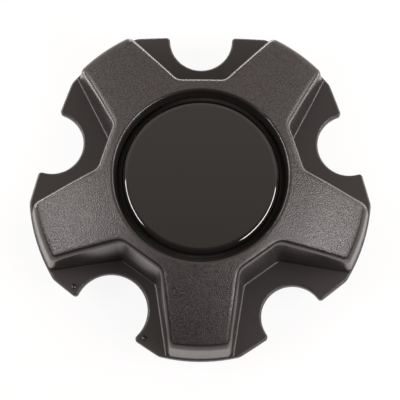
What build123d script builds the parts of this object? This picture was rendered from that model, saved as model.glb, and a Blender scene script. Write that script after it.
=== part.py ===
from build123d import *
import math
import os

# Wheel that the cap fits: bolt circle, centre bore and disc
bolt_count = 5
bolt_circle_radius = 54.0
wheel_bore_radius = 32.55
wheel_disc_thickness = 5.5

# Flange: flat plate on the wheel, round with five slightly bowed flats cut into it
flange_radius = 58.9
flange_flat_depth = 3.8
flange_flat_bow = 390.0
flange_corner_radius = 5.0
flange_thickness = 3.0
flange_edge_radius = 0.8

# Scallops: half-round notches for the bolt heads, one of them larger and nearer to the hub
scallop_radius = 10.85
scallop_corner_radius = 1.2
index_scallop = 2
index_scallop_radius = 12.5
index_scallop_inset = 2.55

# Pips: two small round bumps on the flange beside the larger scallop
pip_radius = 1.0
pip_height = 0.6
pip_scallop_margin = 2.45
pip_edge_margin = 2.6

# Star: five tapering arms, measured at the flange's top face
valley_distance = 35.4
valley_half_length = 7.2
valley_corner_radius = 1.6
arm_tip_half_width = 11.0
arm_draft = 4.7
arm_edge_radius = 2.5
tip_draft = 6.8
tip_setback = 0.5
tip_edge_radius = 5.0
foot_flare = 0.35
foot_slope = 30.0

# Dome: the round surface that the tops of the hub and arms lie on
dome_radius = 112.0
dome_height = 31.5

# Recess for the badge: its edge on the dome lies a margin inside the foot of the valley walls
recess_margin = 6.1
recess_draft = 12.0
recess_depth = 6.2
recess_lip_radius = 1.0

# Badge: shallow cup with a crowned face, a rounded rim and a thin foot
badge_gap = 0.8
badge_foot_width = 0.6
badge_foot_height = 0.7
badge_height = 4.65
badge_crown = 0.5
badge_side_draft = 5.0
badge_rim_radius = 2.2
badge_wall = 2.0

# Locator: low ring on the recess floor that the badge drops over
locator_clearance = 0.15
locator_width = 2.0
locator_height = 1.5

# Back of the moulding: wall and ribs
wall = 2.4
rib_thickness = 1.6
rib_setback = 1.5
rib_finger_gap = 1.8
ring_rib_radius = 45.0
ring_rib_depth = 5.0

# Snap fingers that hold the cap in the wheel's centre bore
finger_clearance = 0.2
finger_thickness = 2.2
finger_half_angle = 15.0
finger_barb = 0.75
finger_barb_height = 1.0
finger_lead_height = 2.6
finger_lead_depth = 0.8

# Sizes that follow from those above
sector = 360.0 / bolt_count
first_valley = 90.0
valley_angles = [first_valley + sector * k for k in range(bolt_count)]
arm_angles = [angle + sector / 2 for angle in valley_angles]
flange_flat_distance = flange_radius - flange_flat_depth
recess_radius = valley_distance - recess_margin
dome_centre = dome_height - dome_radius
recess_top = dome_centre + math.sqrt(dome_radius ** 2 - recess_radius ** 2)
recess_floor = recess_top - recess_depth
recess_floor_radius = recess_radius - recess_depth * math.tan(math.radians(recess_draft))
badge_foot_radius = recess_floor_radius - badge_gap
badge_side_radius = badge_foot_radius - badge_foot_width
badge_inside_radius = badge_side_radius - badge_wall
locator_radius = badge_inside_radius - locator_clearance
run_out = flange_thickness + wall


def dome_at(radius):
    """Height of the dome at a distance from the axis."""
    return dome_centre + math.sqrt(dome_radius ** 2 - radius ** 2)


def turned(profile):
    """Solid of revolution about Z of a profile drawn in X and Z."""
    return revolve(Plane.XZ * profile, Axis.Z, 360)


def beside_arm(along, across):
    """Point measured along the arm to the right of the first valley, and across it towards that valley."""
    half = math.radians(sector / 2)
    return Vector(along * math.sin(half) - across * math.cos(half), along * math.cos(half) + across * math.sin(half))


def star_outline(inset):
    """Star outline at the flange's top face, moved inwards by inset, with its arms run out past the rim."""
    corner = Vector(valley_half_length, valley_distance)
    tip = beside_arm(flange_radius, arm_tip_half_width)
    side = (tip - corner).normalized()
    turn = math.atan2(side.Y, side.X)
    inner = corner + Vector(inset * math.tan(turn / 2), -inset)
    outer = tip + side * run_out + Vector(side.Y, -side.X) * inset
    points = []
    for angle in valley_angles:
        for x, y in ((outer.X, outer.Y), (inner.X, inner.Y), (-inner.X, inner.Y), (-outer.X, outer.Y)):
            points.append(Vector(x, y).rotate(Axis.Z, angle - first_valley))
    outline = Polygon(*[(point.X, point.Y) for point in points], align=None)
    corners = outline.vertices().filter_by(lambda v: math.hypot(v.X, v.Y) < flange_radius)
    return fillet(corners, valley_corner_radius + max(inset, 0))


def star_walls(inset, bottom):
    """Drafted prism of the star, from the height bottom up past the dome."""
    spread = (flange_thickness - bottom) * math.tan(math.radians(arm_draft))
    base = Pos(0, 0, bottom) * star_outline(inset - spread)
    return extrude(base, amount=dome_height + wall - bottom, taper=arm_draft)


def dome_profile(inset, bottom):
    """Half section under the dome, with the slope of the arm tips on its outside."""
    slope = math.tan(math.radians(tip_draft))
    foot = flange_radius - tip_setback - inset / math.cos(math.radians(tip_draft))
    low = foot + (flange_thickness - bottom) * slope
    high = foot - (dome_height - flange_thickness) * slope
    trapezium = Polygon((0, bottom), (low, bottom), (high, dome_height), (0, dome_height), align=None)
    return trapezium & Pos(0, dome_centre) * Circle(dome_radius - inset)


def recess_section(skin):
    """Half section of the badge recess, grown by skin into what is round it, and run out past the dome."""
    mouth = recess_radius + run_out * math.tan(math.radians(recess_draft))
    return Polygon((0, recess_floor - skin), (recess_floor_radius + skin, recess_floor - skin),
                   (mouth + skin, recess_top + run_out), (0, recess_top + run_out), align=None)


def outer_dome():
    """Dome with rounded arm tips, and the badge recess with its rounded lip."""
    profile = dome_profile(0, 0)
    tip = profile.vertices().sort_by(Axis.X)[-2:].sort_by(Axis.Y)[-1]
    profile = fillet(tip, tip_edge_radius)
    profile -= recess_section(0)
    lip = profile.vertices().sort_by_distance((recess_radius, recess_top))[0]
    return turned(fillet(lip, recess_lip_radius))


def star():
    """Raised star with the edges of its arms rounded from flange to flange."""
    walls = star_walls(0, 0)
    dome = outer_dome()
    sharp = walls & dome
    return fillet(new_edges(walls, dome, combined=sharp), arm_edge_radius)


def foot():
    """Flared foot where the star's walls stand on the flange."""
    outline = Pos(0, 0, flange_thickness) * star_outline(-foot_flare)
    rise = foot_flare * math.tan(math.radians(foot_slope))
    return extrude(outline, amount=rise, taper=90 - foot_slope) & turned(dome_profile(0, 0))


def scallops():
    """Centre and radius of each scallop."""
    places = []
    for k, angle in enumerate(valley_angles):
        large = k == index_scallop
        pitch = bolt_circle_radius - (index_scallop_inset if large else 0)
        centre = Vector(pitch, 0).rotate(Axis.Z, angle)
        places.append((centre, index_scallop_radius if large else scallop_radius))
    return places


def flange():
    """Flange plate with its scallops and a rounded top edge all round."""
    outline = Sketch() + Circle(flange_radius)
    for angle in valley_angles:
        outline &= Rot(0, 0, angle) * Pos(flange_flat_distance - flange_flat_bow, 0) * Circle(flange_flat_bow)
    outline = fillet(outline.vertices(), flange_corner_radius)
    corners = []
    for centre, radius in scallops():
        outline -= Pos(centre.X, centre.Y) * Circle(radius)
    for centre, radius in scallops():
        corners += [v for v in outline.vertices() if abs((Vector(v) - centre).length - radius) < 0.001]
    outline = fillet(corners, scallop_corner_radius)
    plate = extrude(outline, amount=flange_thickness)
    return fillet(plate.faces().sort_by(Axis.Z)[-1].edges(), flange_edge_radius)


def pips():
    """Two round pips on the flange, one each side of the larger scallop."""
    ball_radius = (pip_radius ** 2 + pip_height ** 2) / (2 * pip_height)
    along = flange_flat_distance - pip_edge_margin
    across = index_scallop_radius + pip_scallop_margin
    place = Rot(0, 0, valley_angles[index_scallop]) * Pos(along, 0, flange_thickness + pip_height - ball_radius)
    return [place * Pos(0, side * across) * Sphere(ball_radius) for side in (-1, 1)]


def ribs():
    """One rib along the inside of each arm, and a shallower ring across all of them."""
    start = wheel_bore_radius + rib_finger_gap
    long_rib = Box(flange_radius - start, rib_thickness, dome_height, align=(Align.MIN, Align.CENTER, Align.MIN))
    long_rib = Pos(start, 0, rib_setback) * long_rib
    low = dome_at(ring_rib_radius) - wall - ring_rib_depth
    ring = Pos(ring_rib_radius, low) * Rectangle(rib_thickness, dome_height, align=(Align.CENTER, Align.MIN))
    return [turned(ring)] + [Rot(0, 0, angle) * long_rib for angle in arm_angles]


def hollow():
    """Space behind the moulding's wall, less the ribs and the back of the recess."""
    bottom = -flange_thickness
    space = star_walls(wall / math.cos(math.radians(arm_draft)), bottom)
    space &= turned(dome_profile(wall, bottom) - recess_section(wall))
    return space - ribs()


def fingers():
    """Snap fingers under the arms, each with a barb and a lead-in at its free end."""
    face = wheel_bore_radius - finger_clearance
    back = face - finger_thickness
    catch = -wheel_disc_thickness
    nose = catch - finger_barb_height
    end = nose - finger_lead_height
    top = dome_at(face) - wall / 2
    section = Polygon((back, end), (face - finger_lead_depth, end), (face + finger_barb, nose),
                      (face + finger_barb, nose + finger_barb_height / 2), (face, catch), (face, top),
                      (back, top), align=None) - recess_section(wall / 2)
    finger = revolve(Plane.XZ * section, Axis.Z, 2 * finger_half_angle)
    return [Rot(0, 0, angle - finger_half_angle) * finger for angle in arm_angles]


def locator():
    """Low ring on the recess floor that centres the badge."""
    ring = Circle(locator_radius) - Circle(locator_radius - locator_width)
    return Pos(0, 0, recess_floor - wall / 2) * extrude(ring, amount=wall / 2 + locator_height)


def cap_body():
    """The whole moulding: flange, star and recess, hollow from behind, with ribs and snap fingers."""
    body = flange() + [star(), foot()] + pips()
    body -= hollow()
    return body + fingers() + [locator()]


def badge():
    """Gloss disc, open behind, that stands on the recess floor round the locator."""
    top = recess_floor + badge_height
    edge = top - badge_crown
    shoulder = recess_floor + badge_foot_height
    face_radius = badge_side_radius - (edge - shoulder) * math.tan(math.radians(badge_side_draft))
    crown_radius = (face_radius ** 2 + badge_crown ** 2) / (2 * badge_crown)
    block = Polygon((0, recess_floor), (badge_foot_radius, recess_floor), (badge_foot_radius, shoulder),
                    (badge_side_radius, shoulder), (face_radius, edge), (face_radius, top), (0, top), align=None)
    section = block & Pos(0, top - crown_radius) * Circle(crown_radius)
    rim = section.vertices().sort_by_distance((face_radius, edge))[0]
    section = fillet(rim, badge_rim_radius)
    ceiling = edge - badge_wall
    section -= Polygon((0, recess_floor), (badge_inside_radius, recess_floor), (badge_inside_radius, ceiling),
                       (0, ceiling), align=None)
    return turned(section)


os.makedirs("parts", exist_ok=True)
for name, shape in (("cap_body", cap_body()), ("badge", badge())):
    export_step(shape, f"parts/{name}.step")
    print(name, round(shape.volume), "mm3", "valid" if shape.is_valid else "not valid")
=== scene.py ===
# %% [markdown]
# # A moulded wheel centre cap
#
# The cap is one black plastic moulding with a flat flange, five arms on a shallow dome, and a round
# recess that holds a gloss black badge. The CAD model already has every form of it, so this lesson is
# about finish and light: it keeps the two CAD pieces as they are, gives each a procedural material,
# and sets up a small white studio around them.

# %% Load the frame
import math

import bmesh
import bpy
from mathutils import Matrix, Vector


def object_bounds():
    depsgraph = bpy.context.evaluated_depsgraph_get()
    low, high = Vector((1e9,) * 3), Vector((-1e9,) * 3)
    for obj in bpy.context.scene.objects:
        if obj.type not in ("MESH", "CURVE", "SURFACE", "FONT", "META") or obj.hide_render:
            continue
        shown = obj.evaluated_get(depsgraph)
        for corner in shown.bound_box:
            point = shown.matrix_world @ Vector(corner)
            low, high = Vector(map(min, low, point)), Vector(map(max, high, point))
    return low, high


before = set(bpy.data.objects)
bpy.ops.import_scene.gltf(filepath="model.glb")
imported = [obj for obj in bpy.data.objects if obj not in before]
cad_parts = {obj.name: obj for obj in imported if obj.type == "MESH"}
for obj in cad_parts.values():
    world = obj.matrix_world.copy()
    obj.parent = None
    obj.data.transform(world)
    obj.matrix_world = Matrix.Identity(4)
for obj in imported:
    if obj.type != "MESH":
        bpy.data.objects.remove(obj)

MM = 0.001
cad_low, cad_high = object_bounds()
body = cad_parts["cap_body"]
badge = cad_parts["badge"]
print("CAD box, mm:", [round(value / MM, 1) for value in (*cad_low, *cad_high)])

# %% [markdown]
# ## Camera
#
# The photograph looks down on the cap's face from a little towards its lower arm, through a long lens.
# A camera can be aimed with a constraint, but three plain turns are easier to read: a lean away from
# straight down, a turn about the cap's axis, and a small roll about the line of sight.

# %% Camera at the photograph's viewing angle
view_target = Vector((-0.11, -3.22, 3.0)) * MM
view_distance = 709.6 * MM
view_lean = math.radians(12.347)
view_turn = math.radians(-1.870)
view_roll = math.radians(2.186)
focal_pixels = 2063.5
picture_pixels = 400

camera_data = bpy.data.cameras.new("camera")
camera_data.sensor_width = 36.0
camera_data.lens = camera_data.sensor_width * focal_pixels / picture_pixels
camera_data.clip_start = 0.01
camera_data.clip_end = 20.0
camera = bpy.data.objects.new("camera", camera_data)
bpy.context.scene.collection.objects.link(camera)
aim = Matrix.Rotation(view_turn, 4, "Z") @ Matrix.Rotation(view_lean, 4, "X")
aim = aim @ Matrix.Rotation(view_roll, 4, "Z")
camera.matrix_world = Matrix.Translation(view_target) @ aim @ Matrix.Translation((0, 0, view_distance))
bpy.context.scene.camera = camera
print("camera lens, mm:", round(camera_data.lens, 1))

# %% [markdown]
# ## Floor and room
#
# The photograph's ground is plain white. A white floor under strong lamps would do, but it would flood the
# cap with light, so the floor's material gives most of its white to the camera by itself and keeps a share
# of real shading for the soft shadow under the cap. The cap's edges and walls mirror the floor, so mirrored
# rays see a share of that white too, a little warm as in the photograph.
#
# The room is the world's colour: white to the camera, and to every other ray a warm wall behind the cap
# that fades towards the horizon and overhead. It could be a modelled wall, but smooth steps over the
# direction of a ray give the same soft edges with nothing to build.

# %% Helpers for node trees
def new_material(name):
    """An empty node tree with an output, ready for its shader."""
    material = bpy.data.materials.new(name)
    material.use_nodes = True
    material.node_tree.nodes.clear()
    output = material.node_tree.nodes.new("ShaderNodeOutputMaterial")
    return material, material.node_tree, output


def add(tree, kind, **values):
    """A node of one kind, with properties by name and inputs by their socket's name."""
    node = tree.nodes.new("ShaderNode" + kind)
    for name, value in values.items():
        if hasattr(node, name):
            setattr(node, name, value)
        else:
            feed(tree, node.inputs[name.replace("_", " ")], value)
    return node


def feed(tree, slot, value):
    """Links an output to an input, or sets the input to a plain number or colour."""
    if isinstance(value, bpy.types.NodeSocket):
        tree.links.new(value, slot)
    else:
        slot.default_value = value


def maths(tree, operation, *values):
    """A maths node on outputs or plain numbers. Gives back its output."""
    node = add(tree, "Math", operation=operation)
    for slot, value in zip(node.inputs, values):
        feed(tree, slot, value)
    return node.outputs[0]


def ramp(tree, value, low, high, start=0.0, end=1.0):
    """Smooth step of a value from start to end, while it goes from low to high. Gives back its output."""
    node = add(tree, "MapRange", interpolation_type="SMOOTHSTEP")
    settings = {"Value": value, "From Min": low, "From Max": high, "To Min": start, "To Max": end}
    for name, setting in settings.items():
        feed(tree, node.inputs[name], setting)
    return node.outputs["Result"]


def mix_shader(tree, share, first, second):
    """The first shader's output with a share of the second's."""
    node = add(tree, "MixShader")
    for slot, value in zip(node.inputs, (share, first.outputs[0], second.outputs[0])):
        feed(tree, slot, value)
    return node


# %% Floor
floor_reach = 3.0
floor_gap = 0.05 * MM
floor_level = cad_low.z - floor_gap
floor_mesh = bpy.data.meshes.new("floor")
sheet = bmesh.new()
bmesh.ops.create_grid(sheet, x_segments=1, y_segments=1, size=floor_reach)
bmesh.ops.translate(sheet, verts=sheet.verts, vec=(0, 0, floor_level))
sheet.to_mesh(floor_mesh)
sheet.free()
floor = bpy.data.objects.new("floor", floor_mesh)
bpy.context.scene.collection.objects.link(floor)
print("floor at", round(floor_level / MM, 2), "mm")

# %% White paper on the floor
camera_share = 0.9
mirror_share = 0.7
paper_colour = (0.90, 0.87, 0.85, 1)
plain_white = (1, 1, 1, 1)
mirrored_white = (1.0, 0.94, 0.92, 1)
paper, tree, output = new_material("studio_white")
light_path = add(tree, "LightPath").outputs
to_camera = maths(tree, "MULTIPLY", light_path["Is Camera Ray"], camera_share)
mirrored = maths(tree, "MAXIMUM", light_path["Is Glossy Ray"], light_path["Is Transmission Ray"])
to_mirrors = maths(tree, "MULTIPLY", mirrored, mirror_share)
shaded = add(tree, "BsdfDiffuse", Color=paper_colour)
white = add(tree, "Emission", Color=plain_white, Strength=1.0)
warm_white = add(tree, "Emission", Color=mirrored_white, Strength=1.0)
surface = mix_shader(tree, to_camera, shaded, white)
surface = mix_shader(tree, to_mirrors, surface, warm_white)
tree.links.new(surface.outputs[0], output.inputs["Surface"])
floor_mesh.materials.append(paper)
print("floor's own white:", camera_share, "to the camera,", mirror_share, "to mirrored rays")

# %% Room
wall_colour = (1.0, 0.885, 0.81, 1)
wall_level = 0.70
horizon_level = 0.40
overhead_share = 0.70
front_level = 0.12
dark_level = 0.03

# A ray's direction runs from -1 to 1: Y towards the back, Z upwards.
wall_edge = (-0.25, 0.40)
front_edge = (-1.0, -0.2)
horizon_edge = (0.20, 0.60)
overhead_edge = (0.70, 0.98)

world = bpy.data.worlds.new("room")
bpy.context.scene.world = world
world.use_nodes = True
tree = world.node_tree
tree.nodes.clear()
output = add(tree, "OutputWorld")
direction = add(tree, "SeparateXYZ", Vector=add(tree, "TexCoord").outputs["Generated"]).outputs
behind = ramp(tree, direction["Y"], *wall_edge)
front = ramp(tree, direction["Y"], *front_edge, dark_level, front_level)
by_height = ramp(tree, direction["Z"], *horizon_edge, horizon_level, wall_level)
overhead = ramp(tree, direction["Z"], *overhead_edge, 1.0, overhead_share)
level = maths(tree, "MULTIPLY_ADD", behind, maths(tree, "MULTIPLY", by_height, overhead), front)
wall = add(tree, "Background", Color=wall_colour, Strength=level)
white = add(tree, "Background", Color=plain_white, Strength=1.0)
surface = mix_shader(tree, add(tree, "LightPath").outputs["Is Camera Ray"], wall, white)
tree.links.new(surface.outputs[0], output.inputs["Surface"])
print("wall behind the cap:", wall_level, "and at the horizon", horizon_level)

# %% [markdown]
# ## Lamps
#
# The left and right arms are much paler than the others, and so are the edges that face sideways, so the
# main light comes from two softboxes at the sides. Area lamps are the plain way to make them: their size
# sets how soft the light is, and their height how far along the arms it shows. Each has a lower and dimmer
# lamp beside it, turned to the sides of the upper arms.
#
# The thin bright lines along the rounded edges are reflections of something low and close by. In a studio
# that is a strip of white card, so four small strips stand low beside the cap. The camera sees no lamp.

# %% Softboxes at the sides
lamp_tint = (1.0, 0.915, 0.925)


def lamp(name, azimuth, height, distance, size, watts):
    """Area lamp aimed at the cap, from a compass angle about its axis and a height, both in degrees."""
    data = bpy.data.lights.new(name, "AREA")
    data.shape = "RECTANGLE"
    data.size, data.size_y = size
    data.energy = watts
    data.color = lamp_tint
    made = bpy.data.objects.new(name, data)
    made.visible_camera = False
    rise = math.radians(height)
    around = math.radians(azimuth)
    place = Vector((math.cos(rise) * math.cos(around), math.cos(rise) * math.sin(around), math.sin(rise)))
    place *= distance
    made.matrix_world = Matrix.Translation(place) @ place.to_track_quat("Z", "Y").to_matrix().to_4x4()
    bpy.context.scene.collection.objects.link(made)
    print(name, watts, "W")


lamp("softbox_left", azimuth=188.0, height=40.0, distance=0.70, size=(0.40, 0.15), watts=2.6)
lamp("softbox_right", azimuth=-21.0, height=40.0, distance=0.70, size=(0.56, 0.15), watts=4.3)
lamp("side_left", azimuth=160.0, height=16.0, distance=0.70, size=(0.50, 0.20), watts=1.5)
lamp("side_right", azimuth=22.0, height=16.0, distance=0.70, size=(0.40, 0.20), watts=1.0)

# %% Low strips of card
strip_height = -1.0
strip_distance = 0.085
strip_size = (0.06, 0.006)
lamp("strip_left", 162.0, strip_height, strip_distance, strip_size, watts=0.012)
lamp("strip_right", 18.0, strip_height, strip_distance, strip_size, watts=0.008)
lamp("strip_behind", 90.0, strip_height, strip_distance, strip_size, watts=0.012)
lamp("strip_front", -54.0, strip_height, strip_distance, strip_size, watts=0.003)

# %% [markdown]
# ## Dust and uneven gloss
#
# Both pieces have been handled: a few specks of dust lie on them, and their gloss isn't quite even. Both
# materials need this, so each effect is a node group that is made once and placed twice. A speck is the
# middle of a cell in a solid pattern of cells. Small loose pieces would do too, but a pattern needs no
# mesh. Its cells are far larger than the specks, so the surface cuts only a few of them. The uneven gloss
# is a soft noise about zero.

# %% Helpers for node groups
def new_group(name, inputs, outputs):
    """A shader node group with number sockets by name. Gives back its tree, its inputs and its outputs."""
    tree = bpy.data.node_groups.new(name, "ShaderNodeTree")
    for socket, value in inputs.items():
        made = tree.interface.new_socket(name=socket, in_out="INPUT", socket_type="NodeSocketFloat")
        made.default_value = value
    for socket in outputs:
        tree.interface.new_socket(name=socket, in_out="OUTPUT", socket_type="NodeSocketFloat")
    print("node group", name, "with", list(inputs), "giving", outputs)
    return tree, tree.nodes.new("NodeGroupInput").outputs, tree.nodes.new("NodeGroupOutput").inputs


def use_group(tree, group, **values):
    """Places a node group in a material, with the material's own values. Gives back its outputs."""
    node = add(tree, "Group", node_tree=group)
    for name, value in values.items():
        node.inputs[name].default_value = value
    return node.outputs


# %% Dust group
core_share = 0.4
dust, given, wanted = new_group("dust", {"Scale": 165.0, "Size": 0.03}, ["Speck"])
place = add(dust, "TexCoord").outputs["Object"]
spread = add(dust, "TexVoronoi", Vector=place, Scale=given["Scale"])
core = maths(dust, "MULTIPLY", given["Size"], core_share)
feed(dust, wanted["Speck"], ramp(dust, spread.outputs["Distance"], given["Size"], core))

# %% Uneven gloss group
noise_middle = 0.5
handling, given, wanted = new_group("handling", {"Scale": 60.0, "Amount": 0.1}, ["Dulling"])
place = add(handling, "TexCoord").outputs["Object"]
cloud = add(handling, "TexNoise", Vector=place, Scale=given["Scale"], Detail=3.0)
about_zero = maths(handling, "SUBTRACT", cloud.outputs["Fac"], noise_middle)
feed(handling, wanted["Dulling"], maths(handling, "MULTIPLY", about_zero, given["Amount"]))

# %% [markdown]
# ## Moulded plastic
#
# The cap is moulded in black plastic with four finishes from the mould's own surface: a fine eroded grain on
# the tops of the arms, satin on their edges and sides, a smoother recess with a matt floor, and a duller,
# slightly paler flange. They could be four materials on chosen faces, but a CAD mesh is left as it is. Each
# finish also follows one simple rule of place, so masks do the work: the grain is on the dome's sphere and
# nowhere else, the recess lies inside a cylinder, and the flange below a level.

# %% Mask of the dome
dome_radius = 112.0 * MM
dome_height = 31.5 * MM
grain_ends = 0.14 * MM
grain_full = 0.05 * MM
cap_plastic, tree, output = new_material("cap_plastic")
place = add(tree, "TexCoord").outputs["Object"]
from_centre = add(tree, "VectorMath", operation="DISTANCE")
feed(tree, from_centre.inputs[0], place)
feed(tree, from_centre.inputs[1], (0, 0, dome_height - dome_radius))
on_dome = ramp(tree, from_centre.outputs["Value"], dome_radius - grain_ends, dome_radius - grain_full)
print("grain on a dome of radius", round(dome_radius / MM, 1), "mm")

# %% Masks of the recess and the flange
recess_edge = (29.2 * MM, 28.7 * MM)
hollow_edge = (14.0 * MM, 15.0 * MM)
flange_edge = (3.3 * MM, 3.1 * MM)
recess_floor = 21.4 * MM
matt_ends = 0.25 * MM
matt_full = 0.1 * MM
axes = add(tree, "SeparateXYZ", Vector=place).outputs
squares = [maths(tree, "POWER", axes[name], 2.0) for name in ("X", "Y")]
from_axis = maths(tree, "SQRT", maths(tree, "ADD", *squares))
above_hollow = ramp(tree, axes["Z"], *hollow_edge)
in_recess = maths(tree, "MULTIPLY", ramp(tree, from_axis, *recess_edge), above_hollow)
near_floor = ramp(tree, axes["Z"], recess_floor + matt_ends, recess_floor + matt_full)
on_recess_floor = maths(tree, "MULTIPLY", in_recess, near_floor)
on_flange = ramp(tree, axes["Z"], *flange_edge)
print("recess floor at", round(recess_floor / MM, 1), "mm, flange below", round(flange_edge[0] / MM, 1), "mm")

# %% [markdown]
# ## Grain and colour
#
# The grain is eroded into the mould and stands about a tenth of a millimetre high on the arms. Real relief
# would need millions of faces, so a bump does it: it turns the shading and leaves the mesh alone. The same
# noise also paints light and shade into the colour: painted shade in the pits and painted light on the peaks,
# where more light reaches. The colours are dark, because much of the grey that the photograph shows on the
# side arms is reflected light.

# %% Grain
grain_per_metre = 3000.0
grain_depth = 0.105 * MM
pits_to_peaks = (0.33, 0.67)
grain = add(tree, "TexNoise", Vector=place, Scale=grain_per_metre, Detail=0.0).outputs["Fac"]
# Share of painted light on the grain's peaks, against painted shade in its pits.
painted_light_share = ramp(tree, grain, *pits_to_peaks)
height = maths(tree, "MULTIPLY", maths(tree, "SUBTRACT", grain, noise_middle), on_dome)
bump = add(tree, "Bump", Distance=grain_depth, Height=height)
print("grain pitch, mm:", round(1 / grain_per_metre / MM, 2))

# %% Colour of the plastic
edge_colour = (0.0160, 0.0140, 0.0130, 1)
# The pit colour is painted shade and the peak colour is painted light, spread over the grain by its noise.
pit_painted_shade_colour = (0.0100, 0.0090, 0.0088, 1)
peak_painted_light_colour = (0.0470, 0.0423, 0.0411, 1)
flange_colour = (0.0235, 0.0210, 0.0202, 1)
dust_colour = (0.18, 0.17, 0.16, 1)


def mix_colour(tree, share, first, second):
    """The first colour with a share of the second. Gives back its output."""
    node = add(tree, "Mix", data_type="RGBA", Factor=share)
    feed(tree, node.inputs["A"], first)
    feed(tree, node.inputs["B"], second)
    return node.outputs["Result"]


speck = use_group(tree, dust, Scale=165.0, Size=0.03)["Speck"]
# Painted shade in the grain's pits and painted light on its peaks.
grain_painted_light_and_shade = mix_colour(tree, painted_light_share, pit_painted_shade_colour, peak_painted_light_colour)
colour = mix_colour(tree, on_dome, edge_colour, grain_painted_light_and_shade)
colour = mix_colour(tree, on_flange, colour, flange_colour)
colour = mix_colour(tree, speck, colour, dust_colour)
print("plastic's red, from pit to peak:", pit_painted_shade_colour[0], "to", peak_painted_light_colour[0])

# %% Gloss of the plastic
edge_roughness = 0.24
grain_roughness = 0.36
recess_change = -0.12
recess_floor_change = 0.80
flange_change = 0.20
speck_change = 0.4
gloss = ramp(tree, on_dome, 0.0, 1.0, edge_roughness, grain_roughness)
gloss = maths(tree, "MULTIPLY_ADD", in_recess, recess_change, gloss)
gloss = maths(tree, "MULTIPLY_ADD", on_recess_floor, recess_floor_change, gloss)
gloss = maths(tree, "MULTIPLY_ADD", on_flange, flange_change, gloss)
gloss = maths(tree, "ADD", gloss, use_group(tree, handling, Scale=55.0, Amount=0.16)["Dulling"])
gloss = maths(tree, "MULTIPLY_ADD", speck, speck_change, gloss)
plastic = add(tree, "BsdfPrincipled", Base_Color=colour, Roughness=gloss, IOR=1.585)
feed(tree, plastic.inputs["Normal"], bump.outputs["Normal"])
tree.links.new(plastic.outputs[0], output.inputs["Surface"])
print("cap plastic nodes:", len(tree.nodes))

# %% [markdown]
# ## Gloss badge
#
# The badge is a separate disc with a clear lacquer over black, which shows the lamps as sharp arcs. One
# glossy layer would give the arcs alone. A lacquer coat over a softer black also gives the faint haze around
# them, so the coat of the Principled shader is used. The lacquer stops at the foot, and dust lies on top of
# it. The face stays bare.

# %% Badge lacquer
badge_black = (0.0060, 0.0053, 0.0050, 1)
badge_roughness = 0.08
dull_change = 0.5
foot_top = recess_floor + 0.7 * MM
badge_gloss, tree, output = new_material("badge_gloss")
axes = add(tree, "SeparateXYZ", Vector=add(tree, "TexCoord").outputs["Object"]).outputs
on_foot = ramp(tree, axes["Z"], foot_top + matt_ends, foot_top + matt_full)
speck = use_group(tree, dust, Scale=190.0, Size=0.03)["Speck"]
dull = maths(tree, "MAXIMUM", speck, on_foot)
colour = mix_colour(tree, speck, badge_black, dust_colour)
gloss = maths(tree, "ADD", badge_roughness, use_group(tree, handling, Scale=70.0, Amount=0.06)["Dulling"])
gloss = maths(tree, "MULTIPLY_ADD", dull, dull_change, gloss)
lacquer = add(tree, "BsdfPrincipled", Base_Color=colour, Roughness=gloss, IOR=1.5)
lacquer.inputs["Coat Roughness"].default_value = 0.03
lacquer.inputs["Coat IOR"].default_value = 1.42
feed(tree, lacquer.inputs["Coat Weight"], maths(tree, "SUBTRACT", 1.0, dull))
tree.links.new(lacquer.outputs[0], output.inputs["Surface"])
print("badge lacquer nodes:", len(tree.nodes))

# %% Materials onto the pieces
for node, material in ((body, cap_plastic), (badge, badge_gloss)):
    node.data.materials.clear()
    node.data.materials.append(material)
    print(node.name, "wears", material.name)

# %% [markdown]
# ## Finish
#
# The last cell keeps the picture's tones plain.

# %% Tones
bpy.context.scene.view_settings.view_transform = "Standard"
